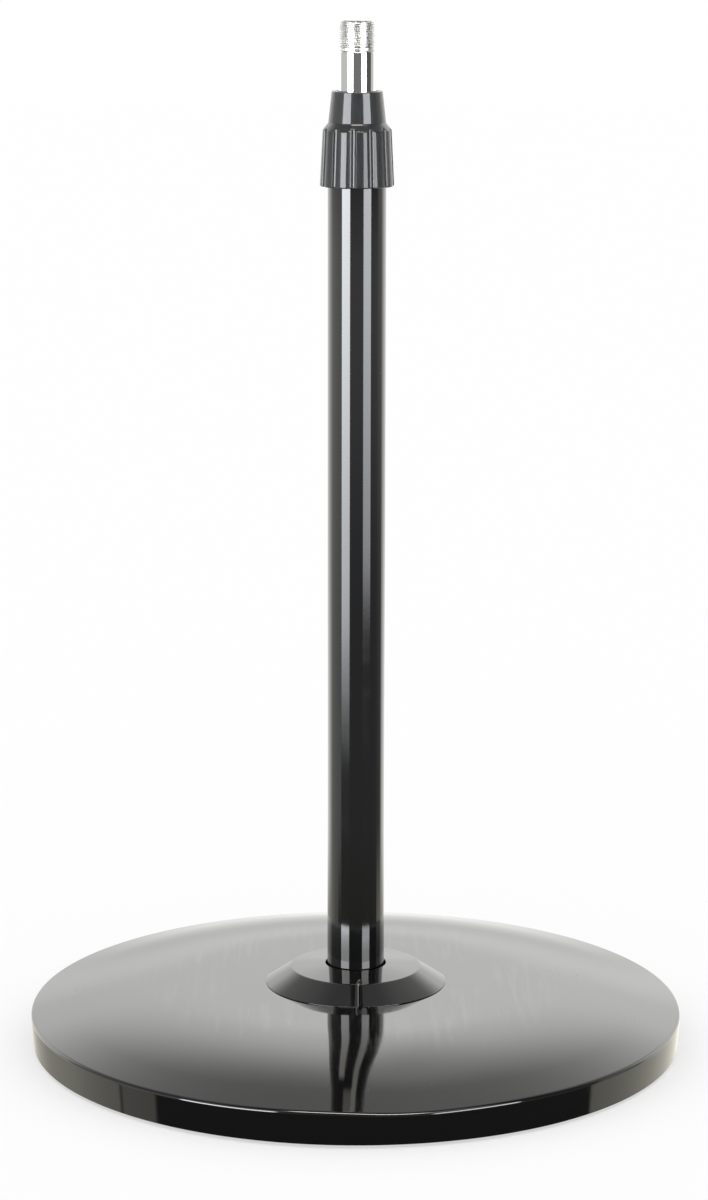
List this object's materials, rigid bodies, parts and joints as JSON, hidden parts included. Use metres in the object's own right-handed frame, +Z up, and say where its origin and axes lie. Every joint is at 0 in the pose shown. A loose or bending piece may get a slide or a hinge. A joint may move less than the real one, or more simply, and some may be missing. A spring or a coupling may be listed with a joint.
{
  "type": "desktop microphone stand",
  "caption": "Weighted round-base microphone stand: domed gloss-black base, outer tube with a twist-lock clutch, and a chrome mast that slides and swivels and ends in a threaded stud.",
  "frame": {"origin": "on the floor under the tube's axis, at the middle of the base", "axes": "+Z up along the tube, -Y the front, where the collar's seam is, +X to the right of someone facing the front"},
  "size_m": [0.287, 0.287, 0.447],
  "materials": {
    "gloss_black_paint": "high gloss, slight orange peel",
    "gloss_black_plastic": "gloss, moulded",
    "satin_black_plastic": "satin, moulded",
    "chrome": "bright chrome plate",
    "steel": "zinc plated",
    "cast_iron": "rough casting, thin black paint",
    "rubber": "matt",
    "nylon": "natural, semi-matt"
  },
  "bodies": {
    "root": {"base_shell": "gloss_black_paint", "ballast_plate": "cast_iron", "bottom_plate": "steel", "foot_1": "rubber", "foot_2": "rubber", "foot_3": "rubber", "foot_4": "rubber", "foot_5": "rubber", "foot_6": "rubber", "plate_screw_1": "steel", "plate_screw_2": "steel", "plate_screw_3": "steel", "plate_screw_4": "steel", "shell_post_1": "steel", "shell_post_2": "steel", "shell_post_3": "steel", "shell_post_4": "steel", "outer_tube": "gloss_black_paint", "pole_plug": "steel", "stop_pad": "rubber", "anchor_bolt": "steel", "spring_washer": "steel", "flat_washer": "steel", "base_collar": "gloss_black_plastic", "clutch_sleeve": "nylon", "collet": "nylon"},
    "slider": {"guide_bush": "nylon"},
    "mast": {"inner_tube": "chrome", "circlip": "steel", "thread_insert": "steel"},
    "clutch_washer": {"thrust_washer": "steel"},
    "clutch_nut": {"clutch_grip": "satin_black_plastic"}
  },
  "joints": [
    {"name": "mast_height", "type": "slide", "parent": "root", "child": "slider", "axis": [0, 0, 1], "range_m": [0, 0.3]},
    {"name": "mast_swivel", "type": "hinge", "parent": "slider", "child": "mast", "pos_m": [0, 0, 0.045], "axis": [0, 0, 1], "continuous": true},
    {"name": "clutch_rise", "type": "slide", "parent": "root", "child": "clutch_washer", "axis": [0, 0, 1], "range_m": [0, 0.0016]},
    {"name": "clutch_turn", "type": "hinge", "parent": "clutch_washer", "child": "clutch_nut", "pos_m": [0, 0, 0.39], "axis": [0, 0, 1], "range_deg": [0, 270]}
  ],
  "couplings": [
    {"joint": "clutch_rise", "follows": "clutch_turn", "m_per_rad": 0.00031831}
  ]
}
